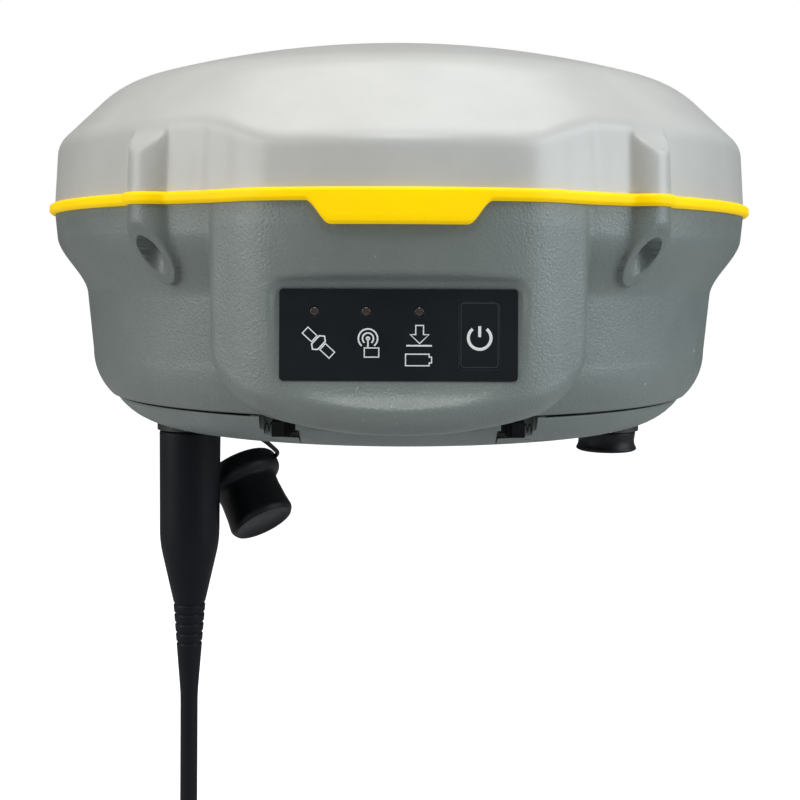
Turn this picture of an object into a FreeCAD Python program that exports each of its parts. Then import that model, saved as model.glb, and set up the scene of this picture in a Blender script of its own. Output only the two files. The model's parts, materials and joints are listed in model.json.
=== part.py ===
"""Domed GNSS surveying receiver with its radio whip antenna. Millimetres, +Z up.

The origin is the mouth of the pole thread, in the flat underside. +Y points to the back, and the
keypad looks along -Y. A radome and a lower housing clamp a bumper band between them; a dished base
closes the bottom and carries the pole insert, the connectors and the hinged battery door.
"""
import math
import os

import FreeCAD
import Part
from FreeCAD import Vector as V

# ---- driving dimensions --------------------------------------------------------------------
WALL_R = 93.4            # radius of the case at the band
FRONT_R = 97.9           # radius of the front sector, which stands forward
FRONT_HALF = 31.2        # half width of the front sector's face
FRONT_SIDE = 41.5        # half width where its flanks meet the side wall
CROWN_Z = 100.7          # top of the dome
CROWN_R = 240.0          # radius of the dome's crown
OVER_TOP = 106.0         # above everything, for blanks that the dome then trims
SHELL = 2.4              # moulded wall
BAND_LOW = 54.8          # band between the two mouldings
BAND_HIGH = 57.5
BAND_PROUD = 1.5
SEAM_Z = 7.8             # joint between lower housing and base
BASE_R = 76.8
FLAT_R = 63.0            # flat underside
DISH_R = 17.25           # radius of the curve from the flat to the seam
LIP_Z = 5.6              # lowest edge of the front bulge

BOSS_R = 5.5             # screw bosses on the outside of the case
BOSS_AT = 92.0
BOSS_ANGLES = (36.6, 143.4, 216.6, 323.4)   # from the front, about +Z
COUNTERBORE_R = 3.4
BORE_TOP = 52.6          # where the screw heads seat
SCREW_R = 1.5

LABEL = (49.6, 19.2)     # keypad overlay, width and height
LABEL_Z = 27.1
LABEL_Y = -92.0          # face of the pocket behind the overlay
LABEL_T = 0.6
LAMPS = (-17.5, -6.8, 4.3)
LAMP_Z = 32.0
KEY = (12.6, 21.0)       # power key, left and right edges
KEY_HALF = 7.0           # half its height

THREAD_R = 15.875 / 2    # 5/8 inch pole thread
INSERT_R = 11.5
INSERT_H = 18.0

PORT_AT = (55.4, -19.0)  # connectors left and right
SERIAL_AT = (0.0, 58.0)

BATTERY = (70.8, 38.4, 20.6)
BATTERY_FRONT = -63.0
BATTERY_LOW = 7.0
DOOR_HALF = 36.0
DOOR_FRONT = -64.2
TONGUE_HALF = 22.2       # the door narrows to this between the two finger notches
TONGUE_R = 84.6
HINGE = (-20.2, 2.4)     # y and z of the door's hinge pin
PIN_R = 0.9
KNUCKLE_R = 2.4
GAP = 0.35               # between a moving part and its frame

POSTS = [(-36, -10), (36, -10), (-44, 40), (44, 40)]        # under the main board
TOP_POSTS = [(-50, -30), (50, -30), (-44, 40), (44, 40)]    # between main board and ground plane

NECK = (-46.5, -59.5)    # ribbed flexible stretch of the whip, top and bottom
WHIP_END = -172.0        # quarter wave of the 430 MHz band


# ---- helpers -------------------------------------------------------------------------------
def save(name, shape):
    shape.exportStep("parts/%s.step" % name)


def box(x0, x1, y0, y1, z0, z1):
    return Part.makeBox(x1 - x0, y1 - y0, z1 - z0, V(x0, y0, z0))


def cyl(x, y, z0, z1, r):
    return Part.makeCylinder(r, z1 - z0, V(x, y, z0))


def tube(x, y, z0, z1, outer, inner):
    return cyl(x, y, z0, z1, outer).cut(cyl(x, y, z0, z1, inner))


def fuse(shapes):
    whole = shapes[0]
    for s in shapes[1:]:
        whole = whole.fuse(s)
    return whole.removeSplitter()


def turned(points):
    """Solid of revolution about Z from (radius, height) points."""
    wire = Part.makePolygon([V(r, 0, z) for r, z in points + points[:1]])
    return Part.Face(wire).revolve(V(0, 0, 0), V(0, 0, 1), 360)


def turned_at(x, y, points):
    solid = turned(points)
    solid.translate(V(x, y, 0))
    return solid


def prism(points, z0, z1):
    """Vertical prism over a plan outline."""
    wire = Part.makePolygon([V(x, y, z0) for x, y in points + points[:1]])
    return Part.Face(wire).extrude(V(0, 0, z1 - z0))


def polar(angle, radius):
    """Point of the plan at an angle from the front, growing towards +X."""
    a = math.radians(angle)
    return radius * math.sin(a), -radius * math.cos(a)


def arc_points(radius, half_width, steps=12):
    """Points of a front arc about the axis, from -half_width to +half_width."""
    limit = math.degrees(math.asin(half_width / radius))
    return [polar(-limit + 2 * limit * i / steps, radius) for i in range(steps + 1)]


def front_sector(grow, z0, z1, back=-60.0):
    """Prism of the front bulge's plan: a true arc between two slanted flanks."""
    radius = FRONT_R + grow
    half = FRONT_HALF + 0.4 * grow
    side = FRONT_SIDE + grow
    y_face = -math.sqrt(radius ** 2 - half ** 2)
    y_side = -math.sqrt(WALL_R ** 2 - FRONT_SIDE ** 2) + 0.4 * grow
    arc = Part.Arc(V(-half, y_face, z0), V(0, -radius, z0), V(half, y_face, z0)).toShape()
    rest = Part.makePolygon([V(half, y_face, z0), V(side, y_side, z0), V(side, back, z0),
                             V(-side, back, z0), V(-side, y_side, z0), V(-half, y_face, z0)])
    return Part.Face(Part.Wire([arc] + rest.Edges)).extrude(V(0, 0, z1 - z0))


def front_outline(grow, low):
    """Prism along Y of the bulge seen from the front: straight sides and a bowed bottom."""
    side = FRONT_SIDE + grow
    turn_z = 23.0
    end = (FRONT_HALF - 1.0, low + 4.2)
    corner = (side - 3.2, low + 9.0)
    edges = [
        Part.makeLine(V(-side, 0, 60), V(side, 0, 60)),
        Part.makeLine(V(side, 0, 60), V(side, 0, turn_z)),
        Part.Arc(V(side, 0, turn_z), V(corner[0], 0, corner[1]), V(end[0], 0, end[1])).toShape(),
        Part.Arc(V(end[0], 0, end[1]), V(0, 0, low), V(-end[0], 0, end[1])).toShape(),
        Part.Arc(V(-end[0], 0, end[1]), V(-corner[0], 0, corner[1]), V(-side, 0, turn_z)).toShape(),
        Part.makeLine(V(-side, 0, turn_z), V(-side, 0, 60)),
    ]
    face = Part.Face(Part.Wire(edges))
    face.translate(V(0, -120, 0))
    return face.extrude(V(0, 120, 0))


def crown(drop, reach):
    """Everything under the dome and its 45 degree skirt, moved down by a wall's thickness."""
    knee_r = 79.0
    top = CROWN_Z - drop
    knee_z = top - CROWN_R + math.sqrt(CROWN_R ** 2 - knee_r ** 2)
    mid_r = knee_r / 2
    mid_z = top - CROWN_R + math.sqrt(CROWN_R ** 2 - mid_r ** 2)
    slope_z = knee_z - (reach - knee_r) * 1.02
    edges = [
        Part.Arc(V(0, 0, top), V(mid_r, 0, mid_z), V(knee_r, 0, knee_z)).toShape(),
        Part.makeLine(V(knee_r, 0, knee_z), V(reach, 0, slope_z)),
        Part.makeLine(V(reach, 0, slope_z), V(reach, 0, 40)),
        Part.makeLine(V(reach, 0, 40), V(0, 0, 40)),
        Part.makeLine(V(0, 0, 40), V(0, 0, top)),
    ]
    solid = Part.Face(Part.Wire(edges)).revolve(V(0, 0, 0), V(0, 0, 1), 360)
    knee = [e for e in solid.Edges if e.Closed and abs(e.BoundBox.ZMax - knee_z) < 0.01
            and abs(e.BoundBox.XMax - knee_r) < 0.01]
    return solid.makeFillet(20.0, knee)


def bosses(radius, z0, z1):
    return [cyl(*polar(a, BOSS_AT), z0, z1, radius) for a in BOSS_ANGLES]


# ---- case ----------------------------------------------------------------------------------
def radome():
    """Top moulding: dome, 45 degree skirt, upright wall, with the front sector standing forward."""
    wall = turned([(0, BAND_HIGH), (WALL_R, BAND_HIGH), (WALL_R - 1.0, OVER_TOP), (0, OVER_TOP)])
    outer = wall.fuse(front_sector(0, BAND_HIGH, OVER_TOP)).common(crown(0, 104))
    facet = turned([(0, 40), (100, 40), (100, 63.1), (93.4, 72.7), (0, 110)])
    outer = fuse([outer] + [b.common(facet) for b in bosses(BOSS_R, BAND_HIGH, 80)])
    inner_wall = turned([(0, 50), (WALL_R - SHELL, 50), (WALL_R - SHELL - 1.0, OVER_TOP), (0, OVER_TOP)])
    inner = inner_wall.fuse(front_sector(-SHELL, 50, OVER_TOP, back=-50)).common(crown(SHELL, 102))
    for b in bosses(BOSS_R - 1.2, 50, 70):
        inner = inner.cut(b)
    shell = outer.cut(inner)
    for b in bosses(SCREW_R, 50, 66):
        shell = shell.cut(b)
    return shell


def bumper_band():
    """Band in the joint between the mouldings, with a name-plate tab at the front."""
    def plan(grow, z0, z1):
        ring = cyl(0, 0, z0, z1, WALL_R + grow).fuse(front_sector(grow, z0, z1))
        return fuse([ring] + bosses(BOSS_R + grow, z0, z1))
    band = plan(BAND_PROUD, BAND_LOW, BAND_HIGH)
    rims = [e for e in band.Edges if e.BoundBox.ZLength < 0.01]
    band = band.makeChamfer(0.7, rims)
    half_low, half_high, drop = 13.5, 18.8, 5.0
    tab_line = [V(-half_high, 0, BAND_LOW + 0.5), V(half_high, 0, BAND_LOW + 0.5),
                V(half_low, 0, BAND_LOW - drop), V(-half_low, 0, BAND_LOW - drop)]
    tab_face = Part.Face(Part.makePolygon(tab_line + tab_line[:1]))
    tab_face.translate(V(0, -110, 0))
    sleeve = front_sector(BAND_PROUD, 45, 60).cut(front_sector(0.02, 44, 61))
    tab = tab_face.extrude(V(0, 60, 0)).common(sleeve)
    hollow = cyl(0, 0, 50, 60, WALL_R - 5).fuse(front_sector(-5, 50, 60, back=-50))
    band = band.cut(hollow).fuse(tab)
    for b in bosses(SCREW_R, 50, 60):
        band = band.cut(b)
    return band.removeSplitter()


def side_profile(inset):
    """Outline of the lower housing's wall: upright, necked in, then rounded under."""
    upright = [(WALL_R, BAND_LOW), (93.0, 47.8), (85.8, 37.0)]
    turn_r, turn_z, turn = 67.3, 19.5, 16.0 - inset
    lower = []
    for step in range(0, 6):
        a = math.radians(step * 54.0 / 5)
        lower.append((turn_r + turn * math.cos(a), turn_z - turn * math.sin(a)))
    return [(r - inset, z) for r, z in upright] + lower


def bulge_side(inset):
    """Solid of revolution under the bulge's face: upright, drawn in to the lip at the bottom."""
    line = [(FRONT_R, BAND_LOW), (97.6, 45), (96.4, 30), (94.2, 13.5), (88.6, LIP_Z)]
    return turned([(0, BAND_LOW)] + [(r - inset, z) for r, z in line] + [(0, LIP_Z)])


def key_opening(clearance, rear):
    """Square-cornered block that clears the power key, from in front of the panel back to rear."""
    half = KEY_HALF + 0.2
    return box(KEY[0] - clearance, KEY[1] + clearance, -95, rear, LABEL_Z - half, LABEL_Z + half)


def lower_housing():
    """Bottom moulding: necked bowl with the keypad bulge, four screw bosses and an open bottom."""
    outer = turned([(0, BAND_LOW)] + side_profile(0) + [(0, side_profile(0)[-1][1])])
    bulge = front_sector(0, LIP_Z, BAND_LOW).common(bulge_side(0)).common(front_outline(0, LIP_Z))
    pocket = box(-LABEL[0] / 2 - 3.5, LABEL[0] / 2 + 3.5, -110, LABEL_Y, LABEL_Z - 11.6, LABEL_Z + 12.6)
    slope = turned([(0, 60), (101, 60), (96.4, 49), (87.3, 37.4), (85.0, 34.4), (0, 34.4)])
    outer = fuse([outer, bulge] + [b.common(slope) for b in bosses(BOSS_R, 30, BAND_LOW)])
    outer = outer.cut(pocket)
    inner_line = side_profile(SHELL)
    bowl = turned([(0, 60), (WALL_R - SHELL, 60)] + inner_line + [(0, inner_line[-1][1])])
    hollow = front_sector(-SHELL, LIP_Z + 2.6, 60, back=-50).common(front_outline(-SHELL, LIP_Z + 2.6))
    hollow = hollow.common(box(-60, 60, LABEL_Y + SHELL, 0, 0, 60)).common(bulge_side(SHELL))
    inside = bowl.fuse(hollow)
    for b in bosses(BOSS_R, 30, 60):
        inside = inside.cut(b)
    shell = outer.cut(inside)
    shell = shell.cut(cyl(0, 0, 0, 12, BASE_R - 3.6))
    shell = shell.cut(cyl(0, 0, 0, SEAM_Z, BASE_R + 0.3))
    tongue = prism([(-TONGUE_HALF - GAP, -50)] + arc_points(TONGUE_R + GAP, TONGUE_HALF + GAP)
                   + [(TONGUE_HALF + GAP, -50)], 0, 12)
    shell = shell.cut(tongue)
    for b in bosses(COUNTERBORE_R, 0, BORE_TOP):
        shell = shell.cut(b)
    for b in bosses(SCREW_R, 40, 60):
        shell = shell.cut(b)
    shell = shell.cut(key_opening(0.4, -80))
    for x in LAMPS:
        shell = shell.cut(Part.makeCylinder(1.6, 20, V(x, -95, LAMP_Z), V(0, 1, 0)))
    return shell.removeSplitter()


def dish(inset):
    """The base's underside: flat, then curving up to the seam. Same curve for base and door."""
    top = SEAM_Z + 6
    radius = DISH_R - inset
    turn = math.asin((BASE_R - FLAT_R) / DISH_R)

    def on_curve(part):
        return V(FLAT_R + radius * math.sin(part * turn), 0, DISH_R - radius * math.cos(part * turn))
    edge = on_curve(1)
    edges = [
        Part.makeLine(V(0, 0, inset), on_curve(0)),
        Part.Arc(on_curve(0), on_curve(0.5), edge).toShape(),
        Part.makeLine(edge, V(edge.x, 0, top)),
        Part.makeLine(V(edge.x, 0, top), V(0, 0, top)),
        Part.makeLine(V(0, 0, top), V(0, 0, inset)),
    ]
    return Part.Face(Part.Wire(edges)).revolve(V(0, 0, 0), V(0, 0, 1), 360)


def door_plan(gap, z0, z1):
    """Plan of the battery door: wide over the battery, narrow tongue between the notches."""
    half, tongue = DOOR_HALF + gap, TONGUE_HALF + gap
    rear = HINGE[0]
    front = DOOR_FRONT - gap
    points = [(-half, rear), (-half, front + 7), (-half + 7, front), (-tongue, front)]
    points += arc_points(TONGUE_R + gap, tongue)
    points += [(tongue, front), (half - 7, front), (half, front + 7), (half, rear)]
    return prism(points, z0, z1)


def hinge_bar(x0, x1, radius):
    """Cylinder about the door's hinge axis."""
    return Part.makeCylinder(radius, x1 - x0, V(x0, HINGE[0], HINGE[1]), V(1, 0, 0))


def base_skin():
    return dish(0).cut(dish(SHELL)).cut(cyl(0, 0, SEAM_Z - 0.4, 30, 90))


def notch(side):
    """Finger notch beside the door tongue."""
    x0, x1 = sorted((side * (TONGUE_HALF + 1.4), side * 31.4))
    return box(x0, x1, -80, -67.5, 3.0, 12)


def latch_pocket(side):
    x0, x1 = sorted((side * (TONGUE_HALF + GAP - 1), side * 30.6))
    return box(x0, x1, -74.0, -66.0, 2.5, 12)


def base_cover():
    """Dished base with the pole boss, hinge knuckle, connector seats and latch pockets."""
    skin = base_skin()
    lap = tube(0, 0, SEAM_Z - 3, SEAM_Z + 3.4, BASE_R - 3.9, BASE_R - 6.1)
    lap = lap.cut(box(-FRONT_SIDE, FRONT_SIDE, -90, 0, 0, 20))
    collar = tube(0, 0, SHELL - 0.5, 12, INSERT_R + 3, INSERT_R)
    seats = [cyl(s * PORT_AT[0], PORT_AT[1], SHELL - 1.5, 5.5, 11) for s in (-1, 1)]
    serial = box(-22, 22, SERIAL_AT[1] - 9, SERIAL_AT[1] + 9, SHELL - 1, 5.0)
    posts = [cyl(x, y, SHELL - 1, 6.0, 4.0) for x, y in POSTS]
    horns = []
    for s in (-1, 1):
        x0, x1 = sorted((s * (TONGUE_HALF + 1.2), s * 33.4))
        horns.append(box(x0, x1, -75, -65.4, 1.5, SEAM_Z - 0.2).common(dish(0.3)))
    base = fuse([skin, lap, collar, serial] + seats + posts + horns)
    base = base.common(dish(0))
    base = base.cut(door_plan(GAP, -1, 20))
    for s in (-1, 1):
        base = base.cut(notch(s)).cut(latch_pocket(s))
        base = base.cut(cyl(s * PORT_AT[0], PORT_AT[1], -5, 20, 7.0))
    base = base.cut(cyl(0, 0, -5, 30, INSERT_R))
    base = base.cut(box(-16.2, 16.2, SERIAL_AT[1] - 5.2, SERIAL_AT[1] + 5.2, -5, 20))
    relief = KNUCKLE_R + GAP
    half = DOOR_HALF + GAP
    base = base.cut(hinge_bar(-half, half, relief))
    base = base.cut(box(-half, half, HINGE[0], HINGE[0] + relief, -1, HINGE[1]))
    web = box(-7.6, 7.6, HINGE[0], HINGE[0] + 5.2, HINGE[1] - 1.2, HINGE[1] + 1.6)
    base = base.fuse(hinge_bar(-7.6, 7.6, KNUCKLE_R).fuse(web)).cut(hinge_bar(-30, 30, PIN_R))
    for x, y in BASE_SCREWS:
        base = base.cut(cyl(x, y, -1, 12, SCREW_R)).cut(cyl(x, y, -1, 1.4, 2.9))
    return base.removeSplitter()


BASE_SCREWS = [polar(a, 66.0) for a in (50, 105, 155, 205, 255, 310)]


def battery_door():
    """Hinged door: flat over the battery, its tongue rising with the dish to close the bulge."""
    plan = door_plan(0, -1, 20)
    panel = base_skin().common(plan)
    shelf = door_plan(0, SEAM_Z - 1.9, SEAM_Z + 0.4).common(box(-40, 40, -90, -72.0, 0, 20))
    door = panel.fuse(shelf)
    door = door.fuse(hinge_bar(-DOOR_HALF, DOOR_HALF, KNUCKLE_R))
    door = door.cut(hinge_bar(-8.0, 8.0, KNUCKLE_R + GAP))
    return door.cut(hinge_bar(-20, 20, PIN_R + 0.05)).removeSplitter()


def door_latch(side):
    """Sliding catch in the finger notch, with a thumb face and a tongue towards the door."""
    x0, x1 = sorted((side * (TONGUE_HALF + 2.2), side * 28.2))
    body = box(x0, x1, -71.6, -66.6, 3.1, 6.9)
    t0, t1 = sorted((side * (TONGUE_HALF + GAP + 0.3), side * (TONGUE_HALF + 3)))
    tongue = box(t0, t1, -70.8, -68.5, 4.0, 6.2)
    g0, g1 = sorted((side * 25.4, side * 28.2))
    grip = box(g0, g1, -73.4, -71.6, 3.4, 6.7)
    return fuse([body, tongue, grip])


def latch_spring(side):
    """Small block spring between the catch and its pocket's end."""
    x0, x1 = sorted((side * 28.3, side * 30.5))
    return Part.makeCylinder(1.1, x1 - x0, V(x0, -70, 5.1), V(1, 0, 0))


def housing_seal():
    ring = tube(0, 0, 0, 1.4, WALL_R - 5.4, WALL_R - 7.4)
    ring.translate(V(0, 0, BAND_LOW + 0.6))
    return ring


def base_seal():
    ring = tube(0, 0, SEAM_Z + 3.6, SEAM_Z + 5.0, BASE_R - 3.9, BASE_R - 5.9)
    return ring.cut(box(-FRONT_SIDE - 2, FRONT_SIDE + 2, -90, 0, 0, 20))


def housing_screws():
    shapes = []
    for a in BOSS_ANGLES:
        x, y = polar(a, BOSS_AT)
        head = cyl(x, y, BORE_TOP - 2.5, BORE_TOP, 2.8).cut(cyl(x, y, BORE_TOP - 3, BORE_TOP - 1.1, 1.25))
        shapes.append(head.fuse(cyl(x, y, BORE_TOP, 65.0, SCREW_R)))
    return Part.makeCompound(shapes)


def base_screws():
    shapes = []
    for x, y in BASE_SCREWS:
        head = cyl(x, y, 0.9, 1.4, 2.7).cut(cyl(x, y, 0.8, 1.2, 1.0))
        shapes.append(head.fuse(cyl(x, y, 1.4, 9.5, SCREW_R)))
    return Part.makeCompound(shapes)


# ---- keypad --------------------------------------------------------------------------------
def keypad_overlay():
    """Flat label with windows for three lamps and the power key."""
    w, h = LABEL[0] / 2, LABEL[1] / 2
    plate = box(-w, w, LABEL_Y - LABEL_T, LABEL_Y, LABEL_Z - h, LABEL_Z + h)
    upright = [e for e in plate.Edges if abs(e.BoundBox.YLength - LABEL_T) < 0.01
               and e.BoundBox.XLength < 0.01 and e.BoundBox.ZLength < 0.01]
    plate = plate.makeFillet(0.7, upright)
    plate = plate.cut(key_opening(0.2, -90))
    for x in LAMPS:
        plate = plate.cut(Part.makeCylinder(1.1, 5, V(x, -95, LAMP_Z), V(0, 1, 0)))
    return plate


def status_lenses():
    shapes = []
    for x in LAMPS:
        shapes.append(Part.makeCylinder(1.05, 4.2, V(x, LABEL_Y - LABEL_T, LAMP_Z), V(0, 1, 0)))
    return Part.makeCompound(shapes)


def power_button():
    """Power key: a raised pad in the overlay's window with a plunger behind it."""
    face = LABEL_Y - LABEL_T - 0.1
    pad = box(KEY[0], KEY[1], face, LABEL_Y - 0.05, LABEL_Z - KEY_HALF, LABEL_Z + KEY_HALF)
    stem = Part.makeCylinder(2.0, 2.5, V(16.8, LABEL_Y - 0.1, LABEL_Z), V(0, 1, 0))
    return pad.fuse(stem)


def keypad_board():
    return box(-26, 26, -87.2, -85.6, LABEL_Z - 9, LABEL_Z + 9)


def key_switch():
    return box(13.8, 19.8, -88.6, -87.2, LABEL_Z - 3, LABEL_Z + 3)


def keypad_flex():
    """Flat cable from the keypad board up to the main board."""
    strip = [(-85.6, 22), (-85.6, 32), (-84.0, 36.0), (-79.0, 38.2), (-70.0, 38.4)]
    outline = [V(-6, y, z) for y, z in strip] + [V(-6, y + 0.25, z - 0.25) for y, z in reversed(strip)]
    return Part.Face(Part.makePolygon(outline + outline[:1])).extrude(V(12, 0, 0))


# ---- electronics ---------------------------------------------------------------------------
def battery_pack():
    x, y, z = BATTERY
    pack = box(-x / 2, x / 2, BATTERY_FRONT, BATTERY_FRONT + y, BATTERY_LOW, BATTERY_LOW + z)
    long_edges = [e for e in pack.Edges if e.BoundBox.XLength > x - 1]
    return pack.makeFillet(2.0, long_edges)


def battery_bay():
    """Cradle that holds the pack in the housing, open towards the door."""
    x, y, z = BATTERY
    c, t = 0.4, 1.6
    top = BATTERY_LOW + z + c
    outer = box(-x / 2 - c - t, x / 2 + c + t, BATTERY_FRONT - c - t, BATTERY_FRONT + y + c + t,
                SEAM_Z + 4.5, top + t)
    inner = box(-x / 2 - c, x / 2 + c, BATTERY_FRONT - c, BATTERY_FRONT + y + c, 0, top)
    return outer.cut(inner)


def battery_contacts():
    shapes = []
    for x in (-12, -4, 4, 12):
        shapes.append(box(x - 1, x + 1, -40, -34, BATTERY_LOW + BATTERY[2], BATTERY_LOW + BATTERY[2] + 0.4))
    return Part.makeCompound(shapes)


def pole_insert():
    """Threaded brass insert for the range pole; the thread form is left plain."""
    body = cyl(0, 0, 0, INSERT_H, INSERT_R - 0.01)
    flange = cyl(0, 0, 12.0, 14.5, INSERT_R + 3)
    return body.fuse(flange).cut(cyl(0, 0, -1, INSERT_H - 2, THREAD_R))


def main_board():
    board = cyl(0, 0, 40.0, 41.6, 76.0)
    for x, y in POSTS[:2] + TOP_POSTS:
        board = board.cut(cyl(x, y, 39, 43, 1.6))
    return board


def power_board():
    board = box(-39, 56, -21.5, 52, 30.5, 32.1)
    for x, y in POSTS:
        board = board.cut(cyl(x, y, 29, 34, 3.1))
    return board


def board_standoffs():
    shapes = [cyl(x, y, 6.0, 40.0, 3.0) for x, y in POSTS]
    shapes += [cyl(x, y, 41.6, 58.0, 3.0) for x, y in TOP_POSTS]
    return Part.makeCompound(shapes)


def board_screws():
    shapes = []
    for x, y in TOP_POSTS:
        shapes.append(cyl(x, y, 59.5, 61.0, 2.8).cut(cyl(x, y, 60.0, 61.5, 1.2)))
    return Part.makeCompound(shapes)


def can(x0, x1, y0, y1, z0, z1):
    """Folded screening can, open at the bottom."""
    return box(x0, x1, y0, y1, z0, z1).cut(box(x0 + 0.3, x1 - 0.3, y0 + 0.3, y1 - 0.3, z0 - 1, z1 - 0.3))


def gnss_module():
    return box(-28, 28, -23, 23, 41.6, 44.6)


def main_shield():
    return can(-30, 30, -26, 26, 41.6, 48.0)


def radio_module():
    return box(-32, 32, 2, 46, 32.1, 38.0)


def bluetooth_module():
    return box(46, 60, -12, 6, 41.6, 44.0)


def ground_plane():
    """Round metal plate under the antenna element, with a turned-down rim."""
    plate = cyl(0, 0, 58.0, 59.5, 82.0)
    rim = tube(0, 0, 55.0, 58.0, 82.0, 81.0)
    return plate.fuse(rim)


def antenna_board():
    return cyl(0, 0, 55.0, 56.6, 40.0)


def antenna_shield():
    return can(-20, 20, -20, 20, 50.0, 55.0)


def antenna_element():
    """Stacked patch: a wide lower disc and a smaller upper disc on a foam core."""
    return fuse([cyl(0, 0, 59.5, 64.0, 50.0), cyl(0, 0, 64.0, 70.0, 36.0), cyl(0, 0, 70.0, 73.0, 40.0)])


def bend_path(points, radius):
    """Polyline of points with each corner rounded by a tangent arc."""
    edges = []
    start = points[0]
    for i in range(1, len(points) - 1):
        a, b, c = points[i - 1], points[i], points[i + 1]
        into = (b - a).normalize()
        out = (c - b).normalize()
        half = into.getAngle(out) / 2
        cut = radius * math.tan(half)
        p, q = b - into * cut, b + out * cut
        centre_dir = (out - into).normalize()
        mid = b + centre_dir * (radius / math.cos(half) - radius)
        edges.append(Part.makeLine(start, p))
        edges.append(Part.Arc(p, mid, q).toShape())
        start = q
    edges.append(Part.makeLine(start, points[-1]))
    return Part.Wire(edges)


def cable(points, radius, bend):
    path = bend_path(points, bend)
    along = points[1] - points[0]
    ring = Part.Wire(Part.makeCircle(radius, points[0], along))
    return path.makePipeShell([ring], True, False)


def radio_coax():
    """Coax from the whip's connector to the radio module."""
    x, y = -PORT_AT[0], PORT_AT[1]
    route = [V(x, y, 12.2), V(x, y, 20), V(-52, 8, 27.0), V(-47, 24, 35.0), V(-32.0, 24, 35.0)]
    return cable(route, 1.1, 4.0)


def antenna_coax():
    """Coax from the antenna board down to the main board."""
    route = [V(34, 0, 55.0), V(34, 0, 50.0), V(41, 0, 46.0), V(41, 0, 41.6)]
    return cable(route, 0.9, 2.2)


# ---- connectors ----------------------------------------------------------------------------
def radio_connector():
    """Bulkhead coaxial socket for the whip; the threaded end is left plain."""
    x, y = -PORT_AT[0], PORT_AT[1]
    body = fuse([cyl(x, y, -1.6, 0.0, 8.6), cyl(x, y, -1.6, 9.5, 6.8), cyl(x, y, -11.0, -1.6, 5.5),
                 cyl(x, y, 9.5, 12.2, 3.0)])
    return body.cut(cyl(x, y, -12, -3.0, 4.0)).fuse(cyl(x, y, -9.5, -2.5, 0.6))


def socket_nuts():
    """Hexagon nuts that hold the two round sockets to the base."""
    shapes = []
    for s in (-1, 1):
        x, y = s * PORT_AT[0], PORT_AT[1]
        corners = [(x + 10 * math.cos(math.radians(60 * i)), y + 10 * math.sin(math.radians(60 * i)))
                   for i in range(6)]
        shapes.append(prism(corners, 5.6, 8.6).cut(cyl(x, y, 0, 12, 6.85)))
    return Part.makeCompound(shapes)


def port_connector():
    """Round power and data socket on the right."""
    x, y = PORT_AT
    body = fuse([cyl(x, y, -1.4, 0.0, 8.4), cyl(x, y, -1.4, 9.5, 6.8), cyl(x, y, -4.4, -1.4, 6.0)])
    body = body.cut(cyl(x, y, -5, 3.0, 4.6))
    pins = []
    for i in range(7):
        a = math.radians(i * 360 / 7)
        pins.append(cyl(x + 2.6 * math.cos(a), y + 2.6 * math.sin(a), -2.0, 3.5, 0.4))
    return fuse([body] + pins)


def flared_cap(flange_r, waist_r, end_r, length, bore_r, depth):
    """Rubber dust cap on its own axis: open mouth up at 0, flared closed end down at -length."""
    body = turned([(0, 0), (flange_r - 0.6, 0), (flange_r, -0.6), (flange_r, -0.30 * length),
                   (waist_r + 0.3, -0.36 * length), (waist_r, -0.46 * length),
                   (end_r, -0.90 * length), (end_r - 0.5, -0.97 * length), (end_r - 1.4, -length),
                   (0, -length)])
    return body.cut(cyl(0, 0, -depth, 1, bore_r))


def port_cap():
    cap = flared_cap(7.9, 7.2, 7.9, 5.3, 6.05, 3.1)
    x, y = PORT_AT
    cap.translate(V(x, y, -1.5))
    return cap


def serial_port():
    """Nine-way D-shaped socket in the underside, at the back."""
    y = SERIAL_AT[1]
    body = box(-16.0, 16.0, y - 5.0, y + 5.0, 0.4, 9.0)
    plate = box(-15.4, 15.4, y - 6.1, y + 6.1, 5.1, 6.2)
    shell = d_prism(8.4, 4.0, -5.2, 0.4).cut(d_prism(7.9, 3.5, -6, -0.4))
    pins = []
    for i in range(5):
        pins.append(cyl(-5.4 + 2.7 * i, y + 1.4, -4.2, 0.4, 0.45))
    for i in range(4):
        pins.append(cyl(-4.05 + 2.7 * i, y - 1.4, -4.2, 0.4, 0.45))
    return fuse([body, plate, shell] + pins)


def d_prism(half, depth, z0, z1):
    """D-shaped prism about the serial port's centre."""
    y = SERIAL_AT[1]
    return prism([(-half, y + depth), (half, y + depth), (half - 1.4, y - depth), (-half + 1.4, y - depth)],
                 z0, z1)


def serial_cover():
    """Push-on rubber cover for the serial port."""
    y = SERIAL_AT[1]
    body = box(-15.6, 15.6, y - 6.4, y + 6.4, -7.0, -0.1)
    corners = [e for e in body.Edges if e.BoundBox.ZLength > 5]
    body = body.makeFillet(2.5, corners)
    lift = box(-5, 5, y + 6.2, y + 9.4, -4.0, -2.2)
    return body.cut(d_prism(8.46, 4.06, -5.6, 1)).fuse(lift)


# ---- whip antenna --------------------------------------------------------------------------
def antenna_coupling():
    x, y = -PORT_AT[0], PORT_AT[1]
    nut = tube(x, y, -11.0, -2.0, 6.6, 5.55)
    return nut.fuse(tube(x, y, -13.4, -11.0, 6.6, 2.0))


def antenna_sleeve():
    """Rubber-covered base of the whip, tapering down to the ribbed neck."""
    x, y = -PORT_AT[0], PORT_AT[1]
    line = [(0, -1.9), (7.6, -1.9), (8.15, -2.5), (8.15, -32.0), (7.9, -34.0), (4.6, NECK[0]), (0, NECK[0])]
    body = turned_at(x, y, line)
    return body.cut(cyl(x, y, -13.4, 0, 6.6))


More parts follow.
